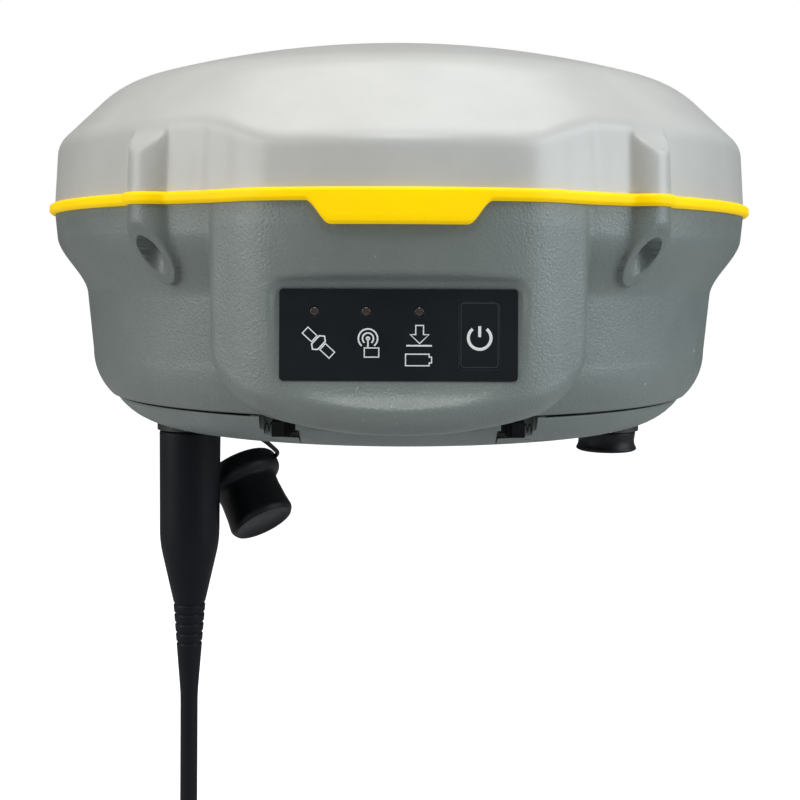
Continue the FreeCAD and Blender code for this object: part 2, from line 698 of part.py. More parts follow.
def antenna_neck():
    """Flexible neck: grooves between two heights, shrinking from the sleeve to the radiator."""
    count, r0, r1 = 5, 4.6, 3.5
    pitch = (NECK[1] - NECK[0]) / (count + 0.2)
    line = [(0, NECK[0])]
    for i in range(count):
        top = NECK[0] + i * pitch
        r = r0 + (r1 - r0) * i / count
        line += [(r, top + 0.05 * pitch), (r, top + 0.45 * pitch), (r - 0.8, top + 0.60 * pitch),
                 (r - 0.8, top + 0.90 * pitch)]
    line += [(r1, NECK[1] - 0.10 * pitch), (r1, NECK[1]), (0, NECK[1])]
    return turned_at(-PORT_AT[0], PORT_AT[1], line)


def antenna_whip():
    """Slim radiator from the neck to its rounded tip."""
    line = [(0, NECK[1]), (3.4, NECK[1]), (2.45, -73.0), (2.3, WHIP_END + 2.0), (1.6, WHIP_END + 0.5),
            (0, WHIP_END)]
    return turned_at(-PORT_AT[0], PORT_AT[1], line)


# ---- hanging dust cap ----------------------------------------------------------------------
CAP_MOUTH = V(-45.3, 1.0, -14.9)
CAP_AXIS = V(0.449, -0.431, -0.781)
STRAP_PIVOT = V(-38.3, -12.2, -2.3)
STRAP_TURN = V(-0.19, 0.98, 0)     # the strap's pin, in line with the cap's weight


def radio_cap():
    """Dust cap taken off the whip's socket and left hanging beside the whip."""
    cap = flared_cap(10.9, 8.5, 9.1, 18.4, 6.6, 12.0)
    down = V(0, 0, -1)
    cap.Placement = FreeCAD.Placement(CAP_MOUTH, FreeCAD.Rotation(down, CAP_AXIS))
    return cap


def on_strap_pin(radius, length):
    """Cylinder about the strap's pin, centred on the pivot."""
    axis = V(STRAP_TURN).normalize()
    return Part.makeCylinder(radius, length, STRAP_PIVOT - axis * (length / 2), axis)


def cap_strap():
    """Thin moulded strap from the cap's rim up to its eyelet under the base."""
    route = [V(-35.0, -0.2, -12.1), V(-33.4, -1.6, -10.8), V(-34.5, -5.0, -8.9), V(-36.1, -8.6, -6.7),
             V(-37.8, -11.5, -5.0), V(-38.3, -12.2, -3.6)]
    strap = cable(route, 0.5, 1.2).fuse(on_strap_pin(1.9, 1.2))
    return strap.cut(on_strap_pin(0.95, 6))


def strap_post():
    """Two-eared bracket under the base with the pin that the strap turns on."""
    bracket = on_strap_pin(1.4, 4.4).cut(on_strap_pin(5, 2.4))
    p = STRAP_PIVOT
    turn = math.degrees(math.atan2(-STRAP_TURN.x, STRAP_TURN.y))
    ears = []
    for s in (-1, 1):
        y0, y1 = sorted((p.y + s * 1.2, p.y + s * 2.2))
        ear = box(p.x - 1.4, p.x + 1.4, y0, y1, p.z, 0.0)
        ear.rotate(p, V(0, 0, 1), turn)
        ears.append(ear)
    return fuse([bracket, on_strap_pin(0.9, 4.4)] + ears)


def hinge_pin():
    return Part.makeCylinder(PIN_R, 36.0, V(-18, HINGE[0], HINGE[1]), V(1, 0, 0))


def door_pad():
    """Foam pad on the door that presses the battery home."""
    return box(-26, 26, -54, -30, SHELL, BATTERY_LOW - 0.3)


PARTS = {
    "radome": radome, "bumper_band": bumper_band, "lower_housing": lower_housing,
    "base_cover": base_cover, "housing_seal": housing_seal, "base_seal": base_seal,
    "housing_screws": housing_screws, "base_screws": base_screws,
    "keypad_overlay": keypad_overlay, "status_lenses": status_lenses, "power_button": power_button,
    "keypad_board": keypad_board, "key_switch": key_switch, "keypad_flex": keypad_flex,
    "battery_pack": battery_pack, "battery_bay": battery_bay, "battery_contacts": battery_contacts,
    "battery_door": battery_door, "door_pad": door_pad, "door_hinge_pin": hinge_pin,
    "pole_insert": pole_insert, "main_board": main_board, "power_board": power_board,
    "board_standoffs": board_standoffs, "board_screws": board_screws, "gnss_module": gnss_module,
    "main_shield": main_shield, "radio_module": radio_module, "bluetooth_module": bluetooth_module,
    "ground_plane": ground_plane, "antenna_board": antenna_board, "antenna_shield": antenna_shield,
    "antenna_element": antenna_element, "radio_coax": radio_coax, "antenna_coax": antenna_coax,
    "radio_connector": radio_connector, "socket_nuts": socket_nuts, "port_connector": port_connector,
    "port_cap": port_cap, "serial_port": serial_port, "serial_cover": serial_cover,
    "antenna_coupling": antenna_coupling, "antenna_sleeve": antenna_sleeve, "antenna_neck": antenna_neck,
    "antenna_whip": antenna_whip, "radio_cap": radio_cap, "cap_strap": cap_strap,
    "strap_post": strap_post,
}

os.makedirs("parts", exist_ok=True)
for name, make in PARTS.items():
    save(name, make())
for name, side in (("left", -1), ("right", 1)):
    save("door_latch_" + name, door_latch(side))
    save("latch_spring_" + name, latch_spring(side))
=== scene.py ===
"""Looks of the GNSS receiver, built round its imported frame. Shapes are worked out in millimetres."""

import json
import math

import bpy
import numpy as np
from mathutils import Matrix, Vector


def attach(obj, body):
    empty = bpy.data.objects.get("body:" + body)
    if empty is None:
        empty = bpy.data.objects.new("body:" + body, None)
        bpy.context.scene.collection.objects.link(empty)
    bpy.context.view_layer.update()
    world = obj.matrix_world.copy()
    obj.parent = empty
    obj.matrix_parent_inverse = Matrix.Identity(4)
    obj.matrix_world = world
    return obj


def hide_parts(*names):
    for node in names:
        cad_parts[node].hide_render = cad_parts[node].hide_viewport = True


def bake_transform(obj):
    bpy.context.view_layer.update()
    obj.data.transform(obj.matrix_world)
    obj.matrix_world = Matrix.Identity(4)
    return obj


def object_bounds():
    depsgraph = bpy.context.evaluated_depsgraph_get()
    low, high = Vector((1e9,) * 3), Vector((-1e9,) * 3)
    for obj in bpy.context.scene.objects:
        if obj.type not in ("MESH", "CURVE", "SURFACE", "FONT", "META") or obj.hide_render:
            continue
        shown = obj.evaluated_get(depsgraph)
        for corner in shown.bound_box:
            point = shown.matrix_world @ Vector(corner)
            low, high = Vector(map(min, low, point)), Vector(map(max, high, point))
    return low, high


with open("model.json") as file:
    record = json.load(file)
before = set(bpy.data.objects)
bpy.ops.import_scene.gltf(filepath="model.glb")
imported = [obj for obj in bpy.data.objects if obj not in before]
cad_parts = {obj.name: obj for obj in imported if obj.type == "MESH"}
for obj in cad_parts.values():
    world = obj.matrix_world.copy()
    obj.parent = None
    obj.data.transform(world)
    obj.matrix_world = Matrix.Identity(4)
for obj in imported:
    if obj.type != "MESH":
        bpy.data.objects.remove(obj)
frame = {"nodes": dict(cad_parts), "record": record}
cad_low, cad_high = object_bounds()
MM = 0.001

# ---------------------------------------------------------------- driving sizes, in millimetres
# A slanting face is a point on it, (across, up) in its section, and its outward normal there.
WALL_R = 93.4                                     # round wall at the band
SHELL = 2.4                                       # wall thickness

FRONT_R = 97.9                                    # arc of the front sector
FRONT_HALF, FRONT_CORNER_Y = 31.2, -92.8          # where the arc meets its flanks
FLANK_NORMAL = (0.666, -0.746)
FRONT_SIDE, FRONT_BACK = 41.5, -60.0              # straight sides, and where they end in the wall

CROWN_TOP, CROWN_R = 100.7, 240.0
SKIRT_FOOT = 165.6                                # height plus radius along the 45 degree skirt
FACET_FOOT = 164.1                                # the same along the facet on top of a column
RADOME_DRAFT = 0.05

BAND_LOW, BAND_HIGH, BAND_PROUD = 54.8, 57.5, 1.45
BAND_EDGE = 0.9                                   # round along the upper edge
TAB_DROP, TAB_HALF, TAB_FLANK = 4.9, 19.1, 5.2    # the tab in front, and its slanting ends

COLUMN_ANGLES = [math.radians(a) for a in (36.6, 143.4, 216.6, 323.4)]
COLUMN_AT, COLUMN_R, BORE_R = 92.0, 5.5, 3.15
COLUMN_CUT = (84.6, 34.0), (0.79, -0.6162)        # slanting underside of a column

HOUSING_LOW = 8.2
BODY_R, BODY_Z, BODY_DRAFT = 83.3, 19.0, 0.105    # housing wall's radius at a height, and its slope
FLARE, FLARE_Z, FLARE_HIGH = 6.3, 34.4, 14.5      # how far, from where and over what height it flares
TURN_AT, TURN_Z, TURN_R = 67.3, 19.5, 16.05       # arc that turns the wall in to the base

BULGE_LEAN, BULGE_TOP, BULGE_HIGH = 0.075, 50.0, 37.5
BULGE_LOW, BULGE_RISE, BULGE_HALF = 5.5, 4.2, 31.0
BULGE_CORNER = 12.0
BROW = (-97.5, 52.0), (-0.98, -0.196)             # face between the band and the recess
BROW_FOOT = 38.0

PANEL_Y = -92.0                                   # floor of the recess round the label
RECESS_HALF = 26.6
ROOF = (PANEL_Y, 37.7), (0.574, 0.819)
RAMP = (PANEL_Y, 17.3), (0.97, -0.24)             # from the floor forwards and down to the lip
LIP = (-95.7, 11.4), (0.6, -0.8)

LABEL = (0.0, 27.1, 24.8, 9.6)                    # middle and half sizes
LABEL_FACE = -92.6
KEY = (16.8, 27.1, 4.2, 7.0)                      # the same for the power key
KEY_PIT, KEY_PIT_Y = 0.7, -88.6                   # room round the key, and the floor under it
LAMPS, LAMP_Z = (-17.5, -6.8, 4.3), 31.95


# ---------------------------------------------------------------- implicit shapes, negative inside
def meet(a, b, k):
    """What a and b share, its edge rounded over k."""
    h = np.maximum(k - np.abs(a - b), 0)
    return np.maximum(a, b) + h * h / (4 * k)


def join(a, b, k):
    """a and b together, the corner between them filled over k."""
    return -meet(-a, -b, k)


def ease(t):
    """Smooth rise from 0 at t = 0 to 1 at t = 1."""
    t = np.clip(t, 0, 1)
    return t * t * (3 - 2 * t)


def slant(across, up, face):
    """How far a point lies outside a slanting face."""
    (face_across, face_up), (normal_across, normal_up) = face
    return (across - face_across) * normal_across + (up - face_up) * normal_up


def sector(x, y, front):
    """Plan of the front sector, whose arc has radius front."""
    ax = np.abs(x)
    arc_edge = np.hypot(x, y) - front
    flank = slant(ax, y, ((FRONT_HALF, FRONT_CORNER_Y + (FRONT_R - front)), FLANK_NORMAL))
    return meet(meet(arc_edge, flank, 2.2), np.maximum(ax - FRONT_SIDE, y - FRONT_BACK), 1.6)


def column_axes(x, y, angle):
    """Radial and tangential place of a point seen from the column at that angle."""
    return x * math.sin(angle) - y * math.cos(angle), x * math.cos(angle) + y * math.sin(angle)


def radome_field(x, y, z):
    rho = np.hypot(x, y)
    crown = np.hypot(rho, z + CROWN_R - CROWN_TOP) - CROWN_R
    top = meet(crown, (rho + z - SKIRT_FOOT) * math.sqrt(0.5), 2.4)
    draft = (z - BAND_HIGH) * RADOME_DRAFT
    plan = join(rho - WALL_R, sector(x, y, FRONT_R), 2.5) + draft
    shell = meet(top, plan, 1.7)
    for angle in COLUMN_ANGLES:
        u, t = column_axes(x, y, angle)
        facet = (u + z - FACET_FOOT) * math.sqrt(0.5)
        column = meet(np.hypot(u - COLUMN_AT, t) - COLUMN_R + draft * 0.5, facet, 0.7)
        shell = join(shell, np.maximum(column, top), 0.9)
    return shell


def drafted_radius(z):
    """Radius of the lower housing's wall without its flare."""
    return BODY_R + BODY_DRAFT * (z - BODY_Z)


def body_radius(z):
    """Radius of the lower housing's wall."""
    return drafted_radius(z) + FLARE * ease((z - FLARE_Z) / FLARE_HIGH)


def bulge_foot(x):
    """Height of the bulge's lower edge, which rises to the sides."""
    return BULGE_LOW + BULGE_RISE * (x / BULGE_HALF) ** 2


def bulge_field(x, y, z):
    """Front bulge with its lip, before the label's recess is cut."""
    front = FRONT_R - BULGE_LEAN * np.clip(BULGE_TOP - z, 0, BULGE_HIGH)
    qx = np.abs(x) - (FRONT_SIDE - BULGE_CORNER)
    qz = bulge_foot(x) + BULGE_CORNER - z
    corner = np.hypot(np.maximum(qx, 0), np.maximum(qz, 0)) - BULGE_CORNER
    outline = corner + np.minimum(np.maximum(qx, qz), 0)
    brow = slant(y, z, BROW) - 0.6 * np.maximum(BROW_FOOT - z, 0)
    face = meet(sector(x, y, front), brow, 2.5)
    return meet(face, outline, 2.5 + 5.5 * ease((22 - z) / 12))


def recess_field(x, y, z):
    """Air in front of the label: a flat floor, a slanting roof, and a ramp out to the lip."""
    ramp = meet(slant(y, z, RAMP), slant(y, z, LIP), 2.0)
    rim = meet(meet(np.abs(x) - RECESS_HALF, slant(y, z, ROOF), 3.0), ramp, 1.2)
    return meet(rim, y - PANEL_Y, 1.4)


def key_pit_field(x, y, z):
    """Air behind and round the power key."""
    middle_x, middle_z, half_x, half_z = KEY
    sides = np.maximum(np.abs(x - middle_x) - half_x, np.abs(z - middle_z) - half_z) - KEY_PIT
    return np.maximum(sides, y - KEY_PIT_Y)


def housing_field(x, y, z):
    rho = np.hypot(x, y)
    wall = (rho - body_radius(z)) * 0.92
    turn = np.hypot(rho - TURN_AT, np.minimum(z - TURN_Z, 0)) - TURN_R
    body = np.where(z > TURN_Z, wall, turn)
    for angle in COLUMN_ANGLES:
        u, t = column_axes(x, y, angle)
        off_axis = np.hypot(u - COLUMN_AT, t)
        body = join(body, meet(off_axis - COLUMN_R, slant(rho, z, COLUMN_CUT), 0.8), 1.2)
        body = meet(body, BORE_R - off_axis, 0.35)
    body = join(body, bulge_field(x, y, z), 0.9)
    body = meet(body, -recess_field(x, y, z), 0.7)
    return np.maximum(body, -key_pit_field(x, y, z))


def band_plan(x, y):
    """Plan of the band: the two walls' outline, rounded out round each column."""
    plan = join(np.hypot(x, y) - WALL_R, sector(x, y, FRONT_R), 2.0)
    for angle in COLUMN_ANGLES:
        u, t = column_axes(x, y, angle)
        plan = join(plan, np.hypot(u - COLUMN_AT, t) - COLUMN_R + 0.3, 0.7)
    return plan


# ---------------------------------------------------------------- meshes
def first_hit(field, at, start, end, steps):
    """How far along each ray, from start towards end, the field turns negative."""
    shape = np.broadcast(*at(np.array(0.0))).shape
    best = np.full(shape, float(end))
    found = np.zeros(shape, bool)
    for s in np.linspace(start, end, steps):
        inside = (field(*at(s)) < 0) & ~found
        best[inside] = s
        found |= inside
    size = (end - start) / (steps - 1)
    near, far = best - size, best.copy()
    for _ in range(18):
        mid = (near + far) / 2
        inside = field(*at(mid)) < 0
        far = np.where(inside, mid, far)
        near = np.where(inside, near, mid)
    return (near + far) / 2


def add_mesh(name, mesh, mat, body, sharp=None, stands_for=()):
    """Puts a mesh in the scene as one piece. Edges that turn by more than sharp degrees stay sharp."""
    mesh.shade_smooth()
    if sharp:
        mesh.set_sharp_from_angle(angle=math.radians(sharp))
    mesh.materials.clear()
    mesh.materials.append(mat)
    piece = bpy.data.objects.new(name, mesh)
    bpy.context.scene.collection.objects.link(piece)
    if body:
        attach(piece, body)
    if stands_for:
        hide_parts(*stands_for)
    return piece


def add_piece(name, verts, faces, mat, body, sharp=40, stands_for=()):
    mesh = bpy.data.meshes.new(name)
    mesh.from_pydata([tuple(v) for v in np.asarray(verts, float) * MM], [], faces)
    mesh.validate()
    return add_mesh(name, mesh, mat, body, sharp, stands_for)


def rings(rows, loop=False):
    """Vertices and faces of closed rings, each (m, 3), or (1, 3) for a tip at either end."""
    verts, starts = [], []
    for row in rows:
        starts.append(len(verts))
        verts.extend(row)
    faces = []
    pairs = list(zip(range(len(rows) - 1), range(1, len(rows))))
    if loop:
        pairs.append((len(rows) - 1, 0))
    for i, j in pairs:
        a, b, m = starts[i], starts[j], max(len(rows[i]), len(rows[j]))
        for c in range(m):
            d = (c + 1) % m
            if len(rows[i]) == 1:
                faces.append((a, b + c, b + d))
            elif len(rows[j]) == 1:
                faces.append((a + c, b, a + d))
            else:
                faces.append((a + c, b + c, b + d, a + d))
    return verts, faces


def lathe(profile, count=64, at=(0, 0, 0), axis=(0, 0, 1)):
    """Vertices and faces of a turned shape. The profile is (radius, height) along the axis."""
    turn = Vector((0, 0, 1)).rotation_difference(Vector(axis)).to_matrix()
    rows = []
    for r, h in profile:
        n = 1 if r < 1e-6 else count
        ring = []
        for c in range(n):
            a = math.tau * c / count
            ring.append(tuple(turn @ Vector((r * math.cos(a), r * math.sin(a), h)) + Vector(at)))
        rows.append(ring)
    return rings(rows)


def rounded(points, radius, count=5):
    """A profile with each corner between its points replaced by a small arc-like curve."""
    out = [points[0]]
    for p, q, r in zip(points, points[1:], points[2:]):
        p, q, r = Vector(p), Vector(q), Vector(r)
        a = q + (p - q).normalized() * min(radius, (p - q).length * 0.45)
        b = q + (r - q).normalized() * min(radius, (r - q).length * 0.45)
        for i in range(count + 1):
            t = i / count
            out.append(tuple((1 - t) ** 2 * a + 2 * t * (1 - t) * q + t * t * b))
    out.append(points[-1])
    return out


def round_wire(name, radius, resolution):
    """An empty curve with a round section and closed ends."""
    curve = bpy.data.curves.new(name, "CURVE")
    curve.dimensions = "3D"
    curve.bevel_depth = radius * MM
    curve.bevel_resolution = resolution
    curve.use_fill_caps = True
    return curve


def add_spline(curve, points, kind="POLY", closed=False):
    spline = curve.splines.new(kind)
    spline.points.add(len(points) - 1)
    for point, place in zip(spline.points, points):
        point.co = (*[c * MM for c in place], 1)
    spline.use_cyclic_u = closed
    return spline


def mesh_of(name, curve):
    holder = bpy.data.objects.new(name + "_curve", curve)
    bpy.context.scene.collection.objects.link(holder)
    bpy.context.view_layer.update()
    mesh = bpy.data.meshes.new_from_object(holder.evaluated_get(bpy.context.evaluated_depsgraph_get()))
    bpy.data.objects.remove(holder)
    return mesh


# ---------------------------------------------------------------- case
def plan_angles(near_columns, front, rest):
    """Angles round the plan, their steps in degrees at the columns, across the front, and elsewhere."""
    angle, out = -math.pi, []
    while angle < math.pi - math.radians(rest) * 0.4:
        out.append(angle)
        to_column = min(abs((angle - a + math.pi) % math.tau - math.pi) for a in COLUMN_ANGLES)
        step = rest
        if abs(angle) < math.radians(31):
            step = front
        if to_column < math.radians(4.5):
            step = near_columns
        angle += math.radians(step)
    return np.array(out)


def ring_xyz(angles, rho, z):
    rho = np.broadcast_to(rho, angles.shape)
    z = np.broadcast_to(z, angles.shape)
    return np.stack([rho * np.sin(angles), -rho * np.cos(angles), z], axis=1)


def radius_of(ring):
    return np.hypot(ring[:, 0], ring[:, 1])


def crown_height(rho):
    return math.sqrt(CROWN_R ** 2 - rho ** 2) + CROWN_TOP - CROWN_R


def build_radome(mat):
    """Outside from the crown down, then the foot, then the inside back up to the crown."""
    angles = plan_angles(0.3, 0.5, 1.0)
    hub_r, hub_z = 66.0, BAND_HIGH                # rays fan out from here to the skirt and the wall
    rows = [np.array([[0, 0, CROWN_TOP]])]
    for rho in np.linspace(4, hub_r, 20):
        rows.append(ring_xyz(angles, rho, crown_height(rho)))
    for beta in np.radians(90 - 90 * np.linspace(0.03, 1, 84)):
        def at(s):
            rho = hub_r + s * math.cos(beta)
            return rho * np.sin(angles), -rho * np.cos(angles), hub_z + s * math.sin(beta) + 0 * angles
        s = first_hit(radome_field, at, 48, 10, 60)
        rows.append(ring_xyz(angles, hub_r + s * math.cos(beta), hub_z + s * math.sin(beta)))
    foot = radius_of(rows[-1])
    rows.append(ring_xyz(angles, foot - 0.3, BAND_HIGH - 0.15))
    rows.append(ring_xyz(angles, foot - SHELL - 0.6, BAND_HIGH - 0.15))
    for z in (62, 66, 69):
        rows.append(ring_xyz(angles, np.minimum(foot, WALL_R) - SHELL - 0.8, z))
    for rho in np.linspace(86, 6, 14):
        rows.append(ring_xyz(angles, rho, min(crown_height(rho) - SHELL, SKIRT_FOOT - rho - 3.4)))
    rows.append(np.array([[0, 0, CROWN_TOP - SHELL]]))
    verts, faces = rings(rows)
    add_piece("radome_shell", verts, faces, mat, "receiver", 60, ["radome"])


def build_band(mat):
    """Section run round the plan: back edge, rounded top, face, and lower edge, which drops at the tab."""
    angles = plan_angles(0.25, 0.3, 1.0)
    walls = {}

    def reach(proud):
        """Radius of the band's outline moved outwards by proud."""
        key = round(proud, 3)
        if key not in walls:
            def at(s):
                return s * np.sin(angles), -s * np.cos(angles)
            walls[key] = first_hit(lambda x, y: band_plan(x, y) - proud, at, 104, 86, 90)
        return walls[key]

    x = np.abs(reach(0) * np.sin(angles))
    drop = np.where(np.cos(angles) > 0, TAB_DROP * ease((TAB_HALF - x) / TAB_FLANK), 0)
    low, face_top = BAND_LOW - drop, BAND_HIGH - BAND_EDGE
    rows = [ring_xyz(angles, reach(0) - 2.2, BAND_HIGH - 0.1), ring_xyz(angles, reach(0) - 0.4, BAND_HIGH)]
    for degrees in range(90, -15, -15):
        a = math.radians(degrees)
        proud = BAND_PROUD - BAND_EDGE + BAND_EDGE * math.cos(a)
        rows.append(ring_xyz(angles, reach(proud), face_top + BAND_EDGE * math.sin(a)))
    for share in (0.4, 0.8):
        rows.append(ring_xyz(angles, reach(BAND_PROUD), face_top + (low + 0.95 - face_top) * share))
    for back, up in ((0, 0.75), (0.07, 0.58), (0.65, 0.06), (0.8, 0), (BAND_PROUD - 0.1, 0)):
        rows.append(ring_xyz(angles, reach(BAND_PROUD - back), low + up))
    rows.append(ring_xyz(angles, reach(0) - 0.3 - 1.9 * (drop < 0.05), low))
    verts, faces = rings(rows, loop=True)
    add_piece("bumper", verts, faces, mat, "receiver", 60, ["bumper_band"])


def build_housing(mat):
    """Outside from the band down to the base, then the inside back up."""
    angles = plan_angles(0.16, 0.32, 1.0)
    front_low = np.minimum(bulge_foot(90 * np.sin(angles)) + 0.3, HOUSING_LOW)
    low = np.where(np.cos(angles) > 0, front_low, HOUSING_LOW)
    rows = []
    shares = np.concatenate([np.linspace(0, 0.6, 62), np.linspace(0.61, 0.93, 64), np.linspace(0.94, 1, 7)])
    for share in shares:
        z = low + (BAND_LOW - low) * share

        def at(s):
            return s * np.sin(angles), -s * np.cos(angles), z
        rows.append(ring_xyz(angles, first_hit(housing_field, at, 101, 70, 110), z))
    rows.reverse()
    rows.append(ring_xyz(angles, np.minimum(radius_of(rows[-1]) - 1.0, 76.0), low))
    for z in (12, 18, 24, 30, 36, 40, 43, 46, 49, 52, BAND_LOW):
        rows.append(ring_xyz(angles, min(body_radius(z), drafted_radius(z) + 3) - SHELL - 1.0, z))
    verts, faces = rings(rows, loop=True)
    add_piece("housing_shell", verts, faces, mat, "receiver", 55, ["lower_housing"])


# ---------------------------------------------------------------- materials
def node_material(name, colour, rough, specks=0.0, grain=0.0, grain_size=0.4, metal=0.0, coat=0.0,
                  specular=0.5, dust=0.0, scratches=0.0, relief=0.1, rough_spread=0.055):
    """A moulded or metal finish: colour that varies softly, a grain bump, dust and fine scratches."""
    mat = bpy.data.materials.new(name)
    mat.use_nodes = True
    nodes, links = mat.node_tree.nodes, mat.node_tree.links
    shader = nodes["Principled BSDF"]
    shader.inputs["Metallic"].default_value = metal
    shader.inputs["Coat Weight"].default_value = coat
    shader.inputs["Specular IOR Level"].default_value = specular
    where = nodes.new("ShaderNodeTexCoord").outputs["Object"]

    def noise(scale, detail=4.0, rough_share=0.55, vector=where):
        n = nodes.new("ShaderNodeTexNoise")
        n.inputs["Scale"].default_value = scale
        n.inputs["Detail"].default_value = detail
        n.inputs["Roughness"].default_value = rough_share
        links.new(vector, n.inputs["Vector"])
        return n.outputs["Fac"]

    def mapped(value, low, high, to_low, to_high):
        n = nodes.new("ShaderNodeMapRange")
        for key, number in zip(("From Min", "From Max", "To Min", "To Max"), (low, high, to_low, to_high)):
            n.inputs[key].default_value = number
        links.new(value, n.inputs["Value"])
        return n.outputs["Result"]

    def product(a, b):
        n = nodes.new("ShaderNodeMath")
        n.operation = "MULTIPLY"
        links.new(a, n.inputs[0])
        links.new(b, n.inputs[1])
        return n.outputs[0]

    def mixed(share, a, b):
        """Colour a where share is 0 and colour b where it is 1; each is a socket or three numbers."""
        n = nodes.new("ShaderNodeMix")
        n.data_type = "RGBA"
        for socket, value in ((n.inputs[0], share), (n.inputs[6], a), (n.inputs[7], b)):
            if hasattr(value, "node"):
                links.new(value, socket)
            else:
                socket.default_value = (*value, 1)
        return n.outputs[2]

    spread = 0.035 + specks
    dark = [c * (1 - spread) for c in colour]
    light = [min(c * (1 + spread), 1) for c in colour]
    tone = mixed(mapped(noise(55), 0.35, 0.65, 0, 1), dark, light)
    if specks:
        tone = mixed(mapped(noise(2600, 2), 0.3, 0.7, 0, 1), tone, [c * (1 - specks) for c in colour])
    if dust:
        tone = mixed(mapped(noise(30, 6, 0.7), 0.5, 0.8, 0, dust), tone, [0.55, 0.55, 0.5])
    if scratches:
        stretch = nodes.new("ShaderNodeMapping")
        stretch.inputs["Scale"].default_value = (2200, 190, 1100)
        stretch.inputs["Rotation"].default_value = (0.3, 0.5, 0.7)
        links.new(where, stretch.inputs["Vector"])
        lines = mapped(noise(0.6, 2, 0.5, stretch.outputs["Vector"]), 0.70, 0.74, 0, 1)
        patches = mapped(noise(38, 2), 0.56, 0.62, 0, scratches)
        tone = mixed(product(lines, patches), tone, [min(c * 2.6 + 0.05, 0.9) for c in colour])
    links.new(tone, shader.inputs["Base Color"])
    smoothest, roughest = max(rough - rough_spread, 0.02), min(rough + rough_spread, 1)
    links.new(mapped(noise(160, 5), 0.3, 0.7, smoothest, roughest), shader.inputs["Roughness"])
    if grain:
        bump = nodes.new("ShaderNodeBump")
        bump.inputs["Strength"].default_value = grain
        bump.inputs["Distance"].default_value = relief * MM
        links.new(noise(1000 / grain_size, 3, 0.6), bump.inputs["Height"])
        links.new(bump.outputs["Normal"], shader.inputs["Normal"])
    return mat


def add_glow(mat, colour, strength):
    shader = mat.node_tree.nodes["Principled BSDF"]
    shader.inputs["Emission Color"].default_value = (*colour, 1)
    shader.inputs["Emission Strength"].default_value = strength


MATERIALS = {
    "radome_plastic": node_material("radome satin", [0.525, 0.527, 0.50], 0.31, grain=0.12, grain_size=0.45,
                                    rough_spread=0.012),
    "band_yellow": node_material("band yellow", [1.0, 0.64, 0.0], 0.45, grain=0.08, specular=0.12),
    "housing_plastic": node_material("housing spark grain", [0.19, 0.222, 0.21], 0.34, specks=0.05,
                                     grain=0.8, grain_size=0.6, relief=0.22, specular=0.7, dust=0.04,
                                     scratches=0.5),
    "base_plastic": node_material("base grain", [0.20, 0.235, 0.225], 0.44, specks=0.05, grain=0.6,
                                  grain_size=0.8, relief=0.25, dust=0.04, scratches=0.3),
    "seal_rubber": node_material("seal rubber", [0.015, 0.015, 0.016], 0.7, grain=0.2),
    "steel": node_material("screw steel", [0.42, 0.40, 0.38], 0.34, grain=0.2, metal=1.0),
    "keypad_film": node_material("keypad film", [0.009, 0.012, 0.015], 0.36, grain=0.10, grain_size=0.25,
                                 specular=0.25, dust=0.006),
    "lamp_lens": node_material("smoked lamp", [0.045, 0.036, 0.030], 0.25, coat=0.2, grain=0.05),
    "circuit_board": node_material("solder mask", [0.012, 0.09, 0.04], 0.35, specks=0.2, grain=0.2),
    "module_black": node_material("module black", [0.02, 0.02, 0.02], 0.5, grain=0.3),
    "flex_film": node_material("flex film", [0.42, 0.18, 0.03], 0.3, grain=0.1),
    "battery_case": node_material("battery case", [0.035, 0.035, 0.038], 0.45, grain=0.4),
    "inner_plastic": node_material("inner plastic", [0.03, 0.03, 0.03], 0.55, grain=0.4),
    "contact_metal": node_material("contact metal", [0.75, 0.62, 0.35], 0.25, metal=1.0, grain=0.05),
    "foam": node_material("pad foam", [0.05, 0.05, 0.05], 0.9, specks=0.3, grain=0.9, grain_size=0.6),
    "brass": node_material("brass", [0.70, 0.50, 0.20], 0.3, metal=1.0, grain=0.15),
    "shield_tin": node_material("shield tin", [0.60, 0.60, 0.60], 0.3, metal=1.0, grain=0.1),
    "plate_aluminium": node_material("plate aluminium", [0.68, 0.68, 0.70], 0.4, metal=1.0, grain=0.2),
    "antenna_ceramic": node_material("antenna ceramic", [0.62, 0.58, 0.50], 0.55, specks=0.1, grain=0.3),
    "cable_jacket": node_material("cable jacket", [0.02, 0.02, 0.022], 0.45, grain=0.3),
    "cap_rubber": node_material("cap rubber", [0.004, 0.0048, 0.0065], 0.45, grain=0.25, specular=0.3,
                                dust=0.01),
    "whip_rubber": node_material("whip rubber", [0.0055, 0.0072, 0.0105], 0.5, grain=0.22, specular=0.18,
                                 dust=0.01),
    "latch_plastic": node_material("latch plastic", [0.005, 0.0055, 0.006], 0.5, grain=0.4, specular=0.2),
}
INK = node_material("printed symbols", [0.86, 0.88, 0.88], 0.5, grain=0.05)
RIM = node_material("key outline", [0.035, 0.042, 0.048], 0.3, grain=0.05)
# Painted shade: the spring wire is made near black so that no glints show in the shaded notch.
PAINTED_SHADE_SPRING_WIRE = node_material("spring wire darkened as painted shade", [0.03, 0.03, 0.03], 0.5, grain=0.1, metal=1.0)
# Painted light: the yellow band glows a little, though it is no lamp, so it looks brighter.
add_glow(MATERIALS["band_yellow"], (1.0, 0.66, 0.0), 0.28)


# ---------------------------------------------------------------- keypad panel, drawn in X and Z
INK_Y = LABEL_FACE - 0.012
FINE, MEDIUM, BOLD = 0.33, 0.34, 0.62             # widths of the printed lines
SATELLITE_AT, SATELLITE_TILT, WING_REACH = (-16.6, 25.45), -43, 2.5
RADIO_AT = (-6.35, 26.35)
ARROW_AT, BATTERY_AT = (4.35, 27.1), (4.1, 21.95)
POWER_AT = (KEY[0], 26.55)


